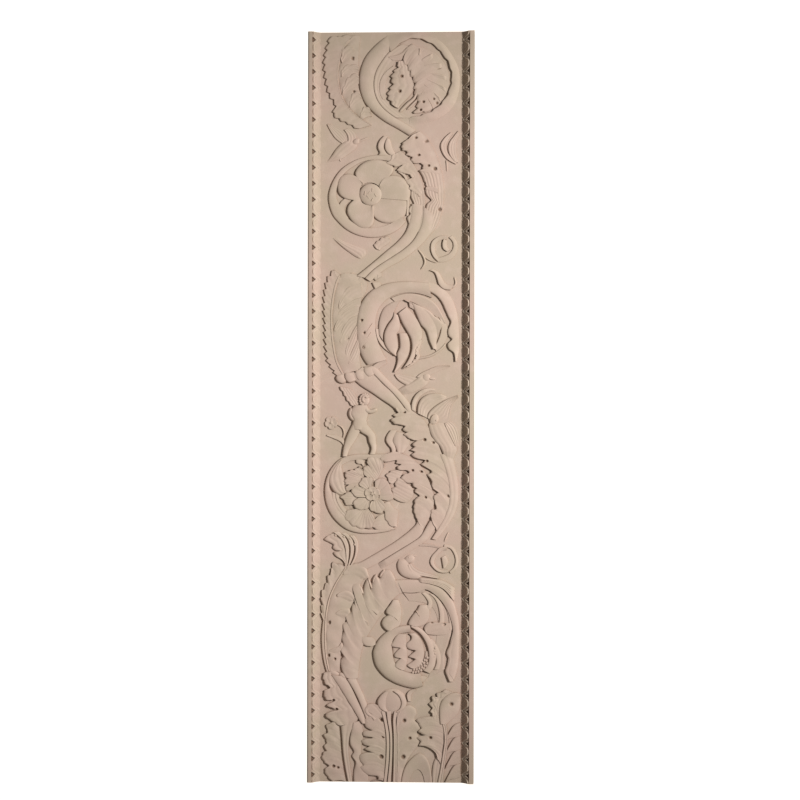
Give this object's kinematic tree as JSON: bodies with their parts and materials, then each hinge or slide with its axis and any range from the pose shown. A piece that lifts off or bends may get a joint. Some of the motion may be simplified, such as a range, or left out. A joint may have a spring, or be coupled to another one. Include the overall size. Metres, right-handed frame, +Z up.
{
  "type": "wall relief",
  "caption": "Tall narrow relief panel of cast plaster, with leaf scrolls, birds and a child between carved mouldings, flat at the back to fix to a wall.",
  "frame": {"origin": "centre of the flat back, which lies against the wall", "axes": "+Z up, +Y into the wall, so the carved front faces -Y; +X to the right as seen from in front"},
  "size_m": [0.532, 0.06, 2.4],
  "materials": {
    "plaster": "matt tinted plaster, warm pinkish buff, browner in the hollows and along one moulding"
  },
  "bodies": {
    "root": {"relief_panel": "plaster"}
  },
  "joints": []
}
